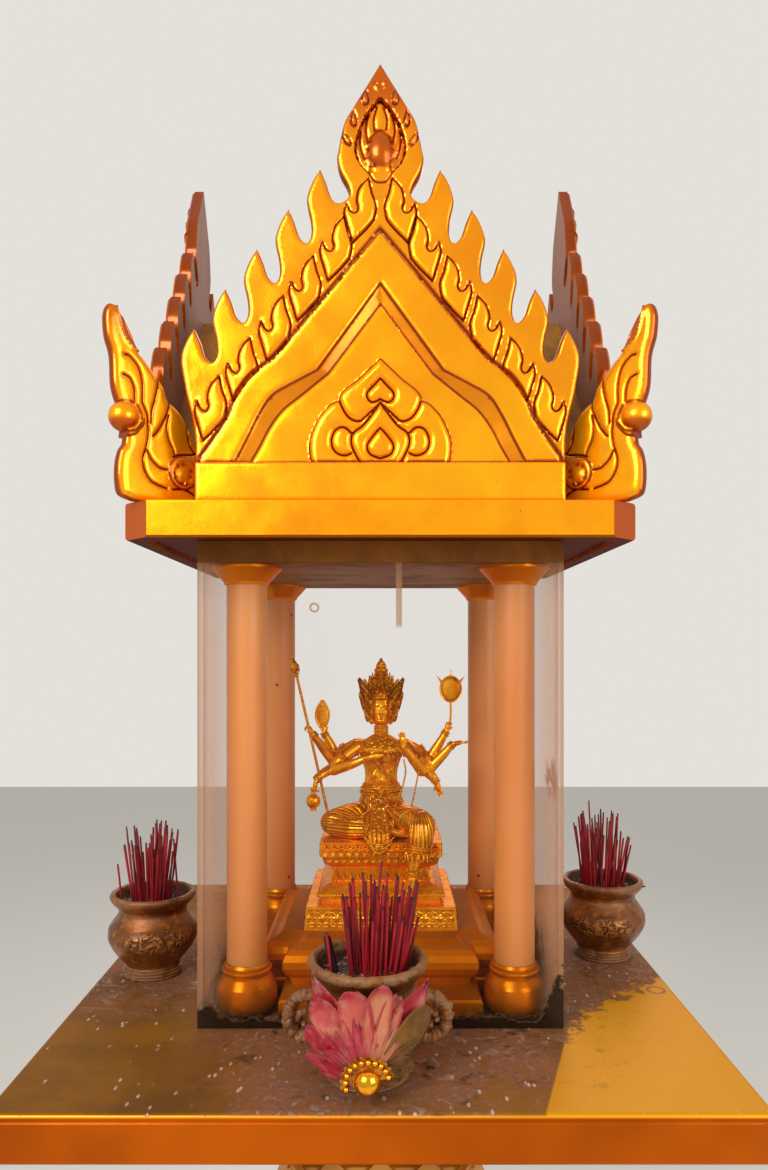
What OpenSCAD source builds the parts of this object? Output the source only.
// Spirit house on a pedestal table, from the ground to the tips of its gables.
// Four pillars in a clear case carry a cross-shaped roof with flame-edged gables over a
// seated figure, with a joss-stick pot on each side. The front faces -Y and +Z is up.
// The origin is on the ground, under the middle of the house.

/* [Pedestal] */
// Width of the lowest step
base_w = 620; // [480:10:760]
// Height of the two steps together
base_h = 140; // [80:5:220]
// Width of the square shaft
shaft_w = 190; // [140:5:230]
// Width across the leaf tips of the capital
leaf_w = 326; // [290:2:400]
// Height of the leaf tips above the ground
leaf_z = 750; // [600:5:800]

/* [Table] */
// Width of the table, left to right
table_w = 936; // [920:4:1200]
// Depth of the table, front to back
table_d = 976; // [960:4:1200]
// Height of the table's top above the ground
table_z = 1000; // [960:5:1200]
// Thickness of the table, which is the height of its edge
table_t = 58; // [40:1:80]
// Corner radius of the table in plan
table_r = 25; // [10:1:60]

/* [Case] */
// Outer width of the square clear case
case_w = 522; // [515:1:560]
// Height of the case
case_h = 664; // [560:4:800]
// Thickness of each clear panel
pane_t = 8; // [4:1:10]

/* [Pillars] */
// Spacing of the pillars, centre to centre
pillar_gap = 400; // [395:1:404]
// Diameter of a pillar
pillar_d = 60; // [44:1:62]
// Height of a pillar's base
foot_h = 76; // [60:1:100]
// Height of a pillar's capital
capital_h = 28; // [16:1:40]

/* [Altar] */
// Width of each arm of the cross-shaped altar, between the pillar bases
altar_w = 298; // [270:2:302]
// Height of the lower step of the altar
altar_step_h = 29; // [20:1:40]
// Height of the whole altar
altar_h = 93; // [80:1:110]

/* [Roof] */
// Width of the square roof slab
slab_w = 698; // [680:2:760]
// Thickness of the roof slab
slab_t = 50; // [30:1:70]
// Cut corners of the roof slab
slab_cut = 40; // [20:1:60]
// Width of each wing of the cross-shaped roof
wing_w = 500; // [480:2:512]
// Height of the walls under the roof slopes
wing_wall = 67; // [50:1:90]
// Height of the ridges above the slab
ridge_h = 365; // [320:1:400]

/* [Gables] */
// Distance from the middle of the house to the face of a gable
gable_face = 333; // [320:1:340]
// Thickness of a gable at its base board
gable_t = 26; // [22:1:40]
// Height of the finial's tip above the slab
finial_h = 593; // [560:1:640]
// Flame teeth on each rake of a gable
teeth = 5; // [4:1:6]

/* [Corner horns] */
// Height of a horn above the slab
horn_h = 255; // [200:1:300]
// Reach of a horn, outwards along the diagonal
horn_w = 138; // [110:1:150]
// Thickness of a horn
horn_t = 22; // [14:1:30]

/* [Figure] */
// Height of the figure from its seat to the tip of its crown
figure_h = 299; // [260:1:330]
// Width of the throne's seat
throne_w = 196; // [180:2:210]
// Height of the throne
throne_h = 134; // [110:1:150]

/* [Pots] */
// Radius of a joss-stick pot at its belly
pot_r = 73; // [60:1:76]

/* [Hidden] */
$fn = 48;
SIDES = [["front", 0], ["right", 90], ["back", 180], ["left", 270]];
CORNERS = [["front_left", 225], ["front_right", 315], ["back_right", 45], ["back_left", 135]];
function names(stem, places) = [for (p = places) str(stem, "_", p[0])];

gold = "#d98a1c";
enamel = "#e8901a";
cream = "#e8cfa4";
clear = [0.85, 0.92, 0.95, 0.35];
bronze = "#7d5632";
ash_grey = "#8d8078";
pink = "#cf3d63";

// heights of the main levels
capital_z = leaf_z - 70;
case_top = table_z + case_h;
recess = 6;
ceiling_t = 25 + recess;
slab_z = case_top + ceiling_t - recess;
roof_z = slab_z + slab_t;
throne_z = table_z + altar_h;
seat_z = throne_z + throne_h;

// Smooth curve through the points p without its last point, k steps between neighbours
function curve(p, k = 4) = [
    for (i = [0:len(p) - 2], s = [0:k - 1])
        let (a = p[max(i - 1, 0)], b = p[i], c = p[i + 1], d = p[min(i + 2, len(p) - 1)])
        let (t = s / k)
        (2 * b + (c - a) * t + (2 * a - 5 * b + 4 * c - d) * t * t
            + (3 * b - a - 3 * c + d) * t * t * t) / 2
];
function arc(x, y, r, from, to, n = 6) =
    [for (i = [0:n]) let (a = from + (to - from) * i / n) [x + r * cos(a), y + r * sin(a)]];
function moved(p, by, k = 1) = [for (q = p) q * k + by];
// A half outline, completed by its mirror image
function whole(p) =
    concat(p, [for (i = [len(p) - 1:-1:0]) if (p[i][0] > 0.001) [-p[i][0], p[i][1]]]);
function rounded_plan(w, d, r) = concat(
    arc(w / 2 - r, d / 2 - r, r, 0, 90), arc(r - w / 2, d / 2 - r, r, 90, 180),
    arc(r - w / 2, r - d / 2, r, 180, 270), arc(w / 2 - r, r - d / 2, r, 270, 360)
);
function cut_plan(w, c) = let (h = w / 2)
    [[h, c - h], [h, h - c], [h - c, h], [c - h, h], [-h, h - c], [-h, c - h], [c - h, -h], [h - c, -h]];

// A block with the same moulding on its four sides: edge lists [inset, height] upwards
module moulded(w, d, edge) {
    intersection() {
        rotate([90, 0, 0])
            linear_extrude(d + 2, center = true)
                polygon(whole([for (e = edge) [w / 2 - e[0], e[1]]]));
        rotate([90, 0, 90])
            linear_extrude(w + 2, center = true)
                polygon(whole([for (e = edge) [d / 2 - e[0], e[1]]]));
    }
}

// Stands a flat shape upright, facing the front, its back at distance y from the middle
module upright(y, t) {
    translate([0, -y, 0])
        rotate([90, 0, 0])
            linear_extrude(t)
                children();
}
module at_corner(place, out) {
    rotate([0, 0, place[1]])
        translate([out * sqrt(2), 0, 0])
            rotate([0, 0, -place[1]])
                children();
}
module on_side(place) {
    rotate([0, 0, place[1]])
        children();
}

// A stretch of a limb or rod between two points
module limb(p, q, r1, r2) {
    v = q - p;
    translate(p)
        rotate([0, acos(v[2] / norm(v)), atan2(v[1], v[0])])
            cylinder(h = norm(v), r1 = r1, r2 = r2);
}
module ball(p, r) {
    translate(p)
        sphere(r);
}

// Cast steps on the ground
module base_steps() {
    color(gold)
        moulded(base_w, base_w, [
            [0, 0], [0, base_h / 2 - 8], [8, base_h / 2], [40, base_h / 2],
            [40, base_h - 8], [48, base_h]
        ]);
}

// Square shaft, spread at its foot like an upturned lotus
module pedestal_shaft() {
    flare = 72;
    color(gold)
        translate([0, 0, base_h])
            moulded(shaft_w + 2 * flare, shaft_w + 2 * flare, concat(
                [[6, 0], [0, 6], [0, 24], [6, 30]],
                arc(flare, 30, flare - 14, 180, 90),
                [[flare, 92], [flare, capital_z - base_h - 34], [flare - 10, capital_z - base_h - 28],
                [flare - 10, capital_z - base_h - 10], [flare, capital_z - base_h]]
            ));
}

// Lotus cup with a row of leaves, and the neck that spreads out under the table
cup_w = leaf_w - 26;
side_leaves = 3;
module leaf_plate(w, h, t) {
    translate([0, t / 2, 0])
        rotate([90, 0, 0])
            linear_extrude(t)
                polygon(whole(concat(
                    curve([[0, h], [w * 0.24, h * 0.72], [w * 0.46, h * 0.4], [w * 0.5, h * 0.12]]),
                    [[w * 0.5, h * 0.12], [w * 0.44, 0]]
                )));
}
// A leaf of the lotus, leaning out from the cup
module lotus_leaf(x, out) {
    leaf_sink = 4;
    translate([x, -out, capital_z + leaf_sink])
        rotate([12, 0, 0])
            leaf_plate(cup_w / (side_leaves + 1) * 1.02, leaf_z - capital_z, 12);
}
module pedestal_capital() {
    h = table_z - table_t - capital_z;
    top_w = cup_w + 110;
    inset = (top_w - cup_w) / 2;
    leaf_out = cup_w / 2 - 14;
    color(gold) {
        translate([0, 0, capital_z])
            moulded(top_w, top_w, [
                [(top_w - shaft_w) / 2, 0], [inset + 24, 14], [inset + 4, 44], [inset + 4, 52],
                [inset + 46, 66], [inset + 52, 100], [inset + 30, 150], [30, h - 44], [12, h - 30],
                [12, h - 22], [0, h - 16], [0, h]
            ]);
        for (s = SIDES)
            on_side(s) {
                for (i = [0:side_leaves - 1])
                    lotus_leaf((i - (side_leaves - 1) / 2) * cup_w / (side_leaves + 1), leaf_out);
                rotate([0, 0, 45])
                    lotus_leaf(0, leaf_out * sqrt(2) - 6);
            }
    }
}

// Table with rounded corners; its top stands a little inside the edge
module table_top() {
    lip = 7;
    color(enamel)
        translate([0, 0, table_z - table_t])
            intersection() {
                moulded(table_w, table_d, concat(
                    [[3, 0], [0, 3]],
                    [[0, table_t - lip - 3], [1, table_t - lip - 1], [4, table_t - lip]],
                    arc(lip + 4, table_t - lip, lip, 180, 90)
                ));
                linear_extrude(table_t)
                    polygon(rounded_plan(table_w, table_d, table_r));
            }
}

// Cross-shaped altar that fills the floor between the pillar bases
module cross(reach, w, edge) {
    moulded(2 * reach, w, edge);
    moulded(w, 2 * reach, edge);
}
module altar() {
    roll = (altar_h - altar_step_h) / 2;
    color(gold)
        translate([0, 0, table_z]) {
            cross(case_w / 2 - 25, altar_w, [
                [0, 0], [0, altar_step_h - 3], [3, altar_step_h]
            ]);
            translate([0, 0, altar_step_h])
                cross(case_w / 2 - 73, altar_w, concat(
                    [[14, 0]], arc(roll * 0.8, roll, roll * 0.8, 235, 100), [[roll, 2 * roll]]
                ));
        }
}

// Cast drum under each pillar, with a socket that the pillar stands in
seat_deep = 12;
module pillar_base() {
    r = pillar_d / 2;
    color(gold)
        translate([0, 0, table_z])
            rotate_extrude()
                polygon(concat(
                    [[0, 0], [r + 8, 0]],
                    curve([[r + 8, 0], [r + 14, 12], [r + 15.5, 26], [r + 13, 44], [r + 6, 56]], 3),
                    [[r + 6, 56], [r + 4, 58]],
                    arc(r + 4, 65, 3.5, -90, 90),
                    [[r + 4, 72], [r + 2, foot_h], [r, foot_h], [r, foot_h - seat_deep],
                    [0, foot_h - seat_deep]]
                ));
}
cap_seat = 4;
module pillar() {
    from = table_z + foot_h - seat_deep;
    color(cream)
        translate([0, 0, from])
            cylinder(h = case_top - capital_h + cap_seat - from, d = pillar_d);
}
module pillar_capital() {
    r = pillar_d / 2;
    flare = capital_h - 6;
    color(gold)
        translate([0, 0, case_top - capital_h])
            rotate_extrude()
                polygon([
                    [0, cap_seat], [r, cap_seat], [r, 0], [r + 3, 0], [r + 4, 4],
                    [r + flare, capital_h - 4], [r + flare, capital_h], [0, capital_h]
                ]);
}

// Flat ceiling, let into the underside of the roof slab
module ceiling() {
    color(gold)
        translate([0, 0, case_top])
            moulded(case_w, case_w, [[0, 0], [0, ceiling_t]]);
}

// Clear panels; the side ones cover the edges of the front and back ones
module glass(place) {
    on_edge = place[1] % 180 == 0;
    w = on_edge ? case_w - 2 * pane_t : case_w;
    color(clear)
        on_side(place)
            translate([-w / 2, -case_w / 2, table_z])
                cube([w, pane_t, case_h]);
}

module roof_slab() {
    rim = 24;
    color(enamel)
        translate([0, 0, slab_z])
            difference() {
                intersection() {
                    moulded(slab_w, slab_w, [
                        [3, 0], [0, 3], [0, slab_t - 4], [1, slab_t - 1], [4, slab_t]
                    ]);
                    linear_extrude(slab_t)
                        polygon(cut_plan(slab_w, slab_cut));
                }
                translate([0, 0, -1])
                    linear_extrude(recess + 1)
                        polygon(cut_plan(slab_w - 2 * rim, slab_cut));
            }
}

// Two crossing wings under plain pitched slopes
module roof_body() {
    reach = gable_face - gable_t;
    color(gold)
        translate([0, 0, roof_z])
            for (a = [0, 90])
                rotate([90, 0, a])
                    linear_extrude(2 * reach, center = true)
                        polygon(whole([[0, ridge_h], [wing_w / 2, wing_wall], [wing_w / 2, 0]]));
}

// Outline of a gable: a leaf-shaped finial, then a row of hooked flame teeth down each rake
board_h = 53;
finial = [[0, 0], [21, -34], [36, -58], [49, -81], [57, -117], [59, -131], [55, -148], [45, -167],
    [43, -181]];
tooth_rise = [[10, 8], [17, 28], [25, 46]];
tooth_fall = [[36, 28], [43, 4], [38, -24], [37, -43]];
tooth_end = [[36, 28], [43, 4], [38, -31], [34, -51], [27, -78]];
rake_top = [57, finial_h - 190];
rake_end = [wing_w / 2 - 23, wing_wall + 122];
rake_step = (rake_end - rake_top) / (teeth - 1);
tooth_k = norm(rake_step) / 69.2;
function notch(i) = rake_top + i * rake_step;
function tooth(i) = concat(
    [notch(i) + tooth_rise[2] * tooth_k],
    moved(i < teeth - 1 ? tooth_fall : tooth_end, notch(i), tooth_k),
    i < teeth - 1 ? concat([notch(i + 1)], moved(tooth_rise, notch(i + 1), tooth_k))
        : [[wing_w / 2, wing_wall + 18]]
);
gable_half = concat(
    curve(concat(moved(finial, [0, finial_h]), [notch(0)], moved(tooth_rise, notch(0), tooth_k))),
    [for (i = [0:teeth - 1]) each curve(tooth(i), 3)],
    [[wing_w / 2, wing_wall + 18], [wing_w / 2, 0]]
);

// Half outlines of the pointed frames inside each other, with curled shoulders, drawn for a gable
// 504 mm wide whose ridge is 368 mm high, and of the medallion at their foot
function fitted(p) = [for (q = p) [q[0] * wing_w / 504, q[1] * ridge_h / 368]];
function frame_line(apex, p) = concat([fitted([[0, apex]])[0]], curve(fitted(p), 3),
    [fitted([p[len(p) - 1]])[0], [0, board_h - 1]]);
ledge = frame_line(372, [[147, 196], [164, 184], [183, 166], [199, 141], [209, 117], [227, 89],
    [245, 64], [248, 50]]);
frame_outer = frame_line(299, [[86, 181], [120, 163], [148, 146], [166, 119], [181, 89], [195, 62],
    [199, 50]]);
frame_inner = frame_line(274, [[72, 178], [108, 149], [134, 128], [152, 104], [165, 79], [176, 60],
    [179, 50]]);
medallion = concat([fitted([[0, 198]])[0]],
    curve(fitted([[12, 187], [31, 169], [48, 156], [55, 147], [56, 140], [68, 135], [84, 117],
        [95, 92], [97, 72], [94, 50]]), 2),
    [fitted([[94, 50]])[0], [0, board_h - 1]]);
heart = concat([fitted([[0, 170]])[0]],
    curve(fitted([[9, 161], [18, 151], [17, 142], [11, 138]]), 2),
    fitted([[4, 140], [0, 143]]));
onion = concat([fitted([[0, 137]])[0]],
    curve(fitted([[22, 108], [36, 97], [40, 86], [37, 73], [27, 50]]), 2),
    [fitted([[27, 50]])[0], [0, board_h - 1]]);

// Forked flame, drawn down from its tip
flame = concat(
    curve([[0, 0], [-4, -20], [-10, -38], [-7, -57], [4, -70], [22, -88]], 2),
    curve([[22, -88], [28, -68], [33, -49], [30, -34]], 2),
    curve([[30, -34], [25, -45], [18, -48], [14, -41], [16, -30], [12, -14], [0, 0]], 2)
);
flame_tips = concat([[16, finial_h - 157]], [for (i = [0:teeth - 1]) notch(i) + [-9, -20] * tooth_k]);
// Niche in the finial, with a bud in it
niche = moved(concat([[0, -49]],
    curve([[15, -65], [28, -89], [34, -114], [30, -133], [16, -150]], 2),
    [[16, -150], [0, -156]]), [0, finial_h]);
bud = moved(concat([[0, -89]],
    curve([[9, -103], [17, -118], [16, -132], [9, -140]], 2),
    [[12, -146], [0, -150]]), [0, finial_h]);
gable_back = gable_face - gable_t;
plate_t = gable_t - 6;
raise = 3;
// Depth of each frame under the plate's face
band_deep = 4;
step_deep = 9;
core_deep = 13;
module pad(half, level) {
    upright(gable_back, level)
        polygon(whole(half));
}
module gable_relief() {
    upright(gable_back, gable_t)
        translate([-wing_w / 2, 0])
            square([wing_w, board_h]);
    for (side = [1, -1], tip = flame_tips)
        upright(gable_back, plate_t + raise)
            polygon([for (p = moved(flame, tip, tooth_k)) [side * p[0], p[1]]]);
    pad(medallion, plate_t - core_deep + 2 * raise);
    pad(heart, plate_t - core_deep + 3 * raise);
    pad(onion, plate_t - core_deep + 3 * raise);
    pad(bud, plate_t + raise);
}
module sunk(half, deep) {
    upright(gable_back + plate_t - deep, deep + 1)
        polygon(whole(half));
}
module gable(place) {
    color(enamel)
        on_side(place)
            translate([0, 0, roof_z]) {
                difference() {
                    pad(gable_half, plate_t);
                    sunk(ledge, band_deep);
                    sunk(frame_outer, step_deep);
                    sunk(frame_inner, core_deep);
                    sunk(niche, step_deep);
                }
                gable_relief();
            }
}

// Corner horn: a feathered crest over a ball and a swan-necked foot, seen from its side
horn_in = 264 * sqrt(2);
horn_outline = concat(
    [[0, 0], [97, 0]],
    curve([[97, 0], [116, 6], [121, 22], [121, 46], [117, 65], [110, 79], [112, 108], [120, 127],
        [127, 150], [129, 188], [136, 212], [138, 238], [134, 252], [128, 255], [119, 250],
        [110, 239], [97, 216], [92, 201], [81, 191], [68, 177], [53, 160], [46, 144], [26, 129],
        [6, 97], [0, 80]], 3),
    [[0, 80]]
);
function horn_fit(p) = [for (q = p) [q[0] * horn_w / 138, q[1] * horn_h / 255]];
// Lines between its feathers, cut on both faces
feather_lines = [
    [[121, 238], [119, 226], [113, 214], [102, 205]], [[105, 190], [93, 178], [87, 157], [87, 132]],
    [[64, 160], [68, 142], [73, 124], [74, 107]], [[50, 126], [61, 103], [71, 90]],
    [[78, 92], [81, 75], [86, 58], [84, 43], [75, 30], [64, 25], [50, 22]],
    [[72, 58], [61, 49], [50, 48]]
];
cut_w = 2.4;
function beside(p, by) = [for (i = [0:len(p) - 1])
    let (v = p[min(i + 1, len(p) - 1)] - p[max(i - 1, 0)])
    p[i] + by * [-v[1], v[0]] / norm(v)];
function reversed(p) = [for (i = [len(p) - 1:-1:0]) p[i]];
function cut_along(p) = concat(p, reversed(beside(p, cut_w)));
module horn_boss(at, r, t) {
    spot = horn_fit([at])[0];
    translate([spot[0], 0, spot[1]])
        rotate([90, 0, 0])
            cylinder(h = t, r = r, center = true);
}
module corner_horn(place) {
    cut_deep = 3;
    ball_at = horn_fit([[109, 111]])[0];
    color(enamel)
        translate([0, 0, roof_z])
            rotate([0, 0, place[1]])
                translate([horn_in, 0, 0]) {
                    difference() {
                        rotate([90, 0, 0])
                            linear_extrude(horn_t, center = true)
                                polygon(horn_fit(horn_outline));
                        for (p = feather_lines, side = [-1, 1])
                            translate([0, side * horn_t / 2, 0])
                                rotate([90, 0, 0])
                                    linear_extrude(2 * cut_deep, center = true)
                                        polygon(horn_fit(cut_along(concat(curve(p, 2), [p[len(p) - 1]]))));
                    }
                    translate([ball_at[0], 0, ball_at[1]])
                        sphere(20);
                    horn_boss([26, 46], 15, horn_t + 5);
                    horn_boss([26, 46], 9, horn_t + 12);
                }
}

// Throne of stepped mouldings on a carved block
module throne() {
    w = throne_w + 48;
    color(gold)
        translate([0, 0, throne_z])
            moulded(w, w, [
                [0, 0], [3, 37], [26, 37], [26, 47], [20, 47], [20, 53], [24, 57], [30, 60],
                [34, 64], [43, 66], [43, throne_h - 44], [38, throne_h - 40], [30, throne_h - 35],
                [27, throne_h - 24], [24, throne_h - 23], [24, throne_h]
            ]);
}

// Seated figure, modelled 299 mm tall over its seat and scaled to figure_h
module figure_frame() {
    translate([0, 0, seat_z])
        scale(figure_h / 299)
            children();
}
// Each arm: shoulder, elbow, wrist, fingertips
arms = [
    [[-44, -4, 144], [-78, -22, 108], [-16, -46, 138], [6, -50, 138]],
    [[-44, 8, 146], [-84, 2, 122], [-120, -24, 172], [-125, -28, 186]],
    [[-42, 14, 146], [-80, 20, 124], [-101, 18, 172], [-103, 18, 186]],
    [[-46, 0, 138], [-82, -16, 108], [-108, -46, 102], [-115, -46, 82]],
    [[44, -4, 144], [68, -26, 106], [36, -46, 152], [32, -48, 176]],
    [[44, 8, 146], [82, 8, 120], [116, 6, 174], [122, 6, 188]],
    [[46, 2, 138], [86, -4, 112], [124, -8, 152], [160, -10, 162]],
    [[44, -4, 136], [80, -14, 104], [96, -20, 84], [101, -22, 66]]
];
staff_top = [-150, -24, 299];
staff_foot = [-88, -32, 28];
neck_z = 176;
module arm(a) {
    limb(a[0], a[1], 10.5, 8.5);
    ball(a[1], 9.2);
    limb(a[1], a[2], 8.2, 5.6);
    ball(a[2], 6.4);
    limb(a[2], a[3], 5.9, 3.2);
}
module staff_rod() {
    limb(staff_foot, staff_top, 2.6, 2.6);
}
// A fuller limb with rounded ends
module full_limb(p, r1, q, r2) {
    hull($fn = 20) {
        ball(p, r1);
        ball(q, r2);
    }
}
module left_leg() {
    full_limb([-20, -10, 28], 24, [-82, -36, 21], 18.5);
    full_limb([-80, -42, 16], 12.5, [12, -66, 14], 8.6);
    full_limb([12, -66, 14], 8.4, [38, -69, 11], 5.5);
}
module right_leg() {
    full_limb([20, -10, 28], 24, [66, -93, 28], 21);
    full_limb([66, -97, 24], 20.5, [59, -110, -8], 15.5);
    full_limb([59, -111, -8], 13, [50, -118, -48], 7);
    full_limb([50, -118, -50], 7, [46, -136, -63], 5);
}
// Skirt and belt, in one piece with the legs
belt_z = 83;
module skirt_form() {
    cylinder(h = 76, r1 = 50, r2 = 29, $fn = 24);
    translate([0, 0, 74])
        cylinder(h = belt_z - 74, r = 31, $fn = 24);
}
module torso_form() {
    intersection() {
        hull($fn = 24) {
            ball([-30, 0, 142], 15);
            ball([30, 0, 142], 15);
            ball([-13, -4, 118], 21);
            ball([13, -4, 118], 21);
            ball([0, 0, 84], 25);
        }
        translate([-60, -60, belt_z])
            cube(120);
    }
    translate([0, 0, 148])
        cylinder(h = 12, r1 = 31, r2 = 14);
    translate([0, 0, belt_z + 20])
        cylinder(h = neck_z - belt_z - 20, r = 11.5);
}
module figure_torso() {
    color(gold)
        figure_frame()
            torso_form();
}
module figure_legs() {
    color(gold)
        difference() {
            figure_frame()
                difference() {
                    union() {
                        left_leg();
                        right_leg();
                        skirt_form();
                    }
                    staff_rod();
                }
            throne();
        }
}
// Arms on the viewer's left, with a leaf and a vase, and round the staff
module arms_left() {
    color(gold)
        figure_frame()
            difference() {
                union() {
                    for (i = [0:3])
                        arm(arms[i]);
                    ball([-116, -46, 66], 12);
                    limb([-103, 18, 182], [-103, 18, 224], 9, 2);
                }
                torso_form();
                staff_rod();
            }
}
// Arms on the viewer's right, with a mirror
module arms_right() {
    color(gold)
        figure_frame()
            difference() {
                union() {
                    for (i = [4:7])
                        arm(arms[i]);
                    limb([122, 6, 184], [121, 6, 226], 2.2, 2.2);
                    translate([121, 9, 244])
                        rotate([90, 0, 0])
                            cylinder(h = 6, r = 21);
                }
                torso_form();
            }
}
module held_staff() {
    color(gold)
        figure_frame()
            union() {
                staff_rod();
                ball(staff_top - [-3, 0, 14], 6);
            }
}
module figure_head() {
    brim = 231;
    color(gold)
        figure_frame() {
            translate([0, 0, neck_z])
                cylinder(h = 20, r = 12);
            for (a = [0:90:270])
                rotate([0, 0, a])
                    ball([0, -5, 207], 21);
            translate([0, 0, brim])
                rotate_extrude()
                    polygon(concat([[0, -6], [27, -6], [31, 0], [31, 4], [26, 7]],
                        curve([[26, 7], [27, 20], [17, 34], [9, 42], [10, 50], [4, 60], [0, 68]], 3),
                        [[0, 68]]));
            for (a = [0:45:315])
                rotate([0, 0, a])
                    translate([0, -29, brim])
                        rotate([14, 0, 0])
                            leaf_plate(20, a % 90 == 0 ? 34 : 26, 4);
        }
}

// Joss-stick pot: a globular vessel on a ringed foot, drawn 73 mm in radius
pot_h = 135;
pot_at = [[-16, -388, 1.1], [392, 35, 1], [8, 390, 1], [-382, -46, 1]];
pot_out = concat([[46, 0], [49, 3], [49, 9], [47, 13], [44, 17]],
    curve([[44, 17], [56, 34], [70, 54], [73, 67], [71, 80], [62, 94], [55, 103], [58, 114],
        [66, 123]], 2),
    [[66, 123], [68, 128], [66, 135]]);
pot_in = concat([[60, 135], [60, 128], [55, 120]],
    curve([[55, 120], [51, 113], [50, 104], [58, 92], [66, 80], [68, 67], [65, 55], [52, 38],
        [38, 26]], 2),
    [[38, 26], [0, 22]]);
module pot_frame(i) {
    translate([pot_at[i][0], pot_at[i][1], table_z])
        scale(pot_at[i][2] * pot_r / 73)
            children();
}
// Cast ears of the front pot, like a C with its ends in the wall
ear_at = [68, 66];
ear_r = 28;
ear_w = 9;
module ears() {
    for (side = [0, 180])
        rotate([90, 0, side])
            linear_extrude(ear_w, center = true)
                polygon(moved(concat(arc(0, 0, ear_r, -104, 104, 12),
                    arc(0, 0, ear_r - ear_w, 104, -104, 12)), ear_at));
}
module pot(i) {
    color(bronze)
        pot_frame(i) {
            rotate_extrude()
                polygon(concat([[0, 0]], pot_out, pot_in));
            if (i == 0) ears();
        }
}
module ash(i) {
    color(ash_grey)
        pot_frame(i)
            rotate_extrude()
                polygon(concat([[0, 22]], [for (k = [len(pot_in) - 2:-1:2]) pot_in[k]], [[0, 120]]));
}

// Fabric flower wrapped round the front of the front pot
module flower() {
    wrap = [for (p = pot_out) if (p[1] > 16 && p[1] < 116) p];
    color(pink)
        pot_frame(0)
            rotate([0, 0, 200])
                rotate_extrude(angle = 140)
                    polygon(concat(wrap, [[70, 116], [84, 96], [86, 60], [76, 24], [60, 10]]));
}

base_steps();
pedestal_shaft();
pedestal_capital();
table_top();
altar();
ceiling();
roof_slab();
roof_body();
throne();
figure_legs();
figure_torso();
arms_left();
arms_right();
figure_head();
held_staff();
flower();
for (c = CORNERS) {
    at_corner(c, pillar_gap / 2) pillar_base();
    at_corner(c, pillar_gap / 2) pillar();
    at_corner(c, pillar_gap / 2) pillar_capital();
    corner_horn(c);
}
for (i = [0:3]) {
    glass(SIDES[i]);
    gable(SIDES[i]);
    pot(i);
    ash(i);
}
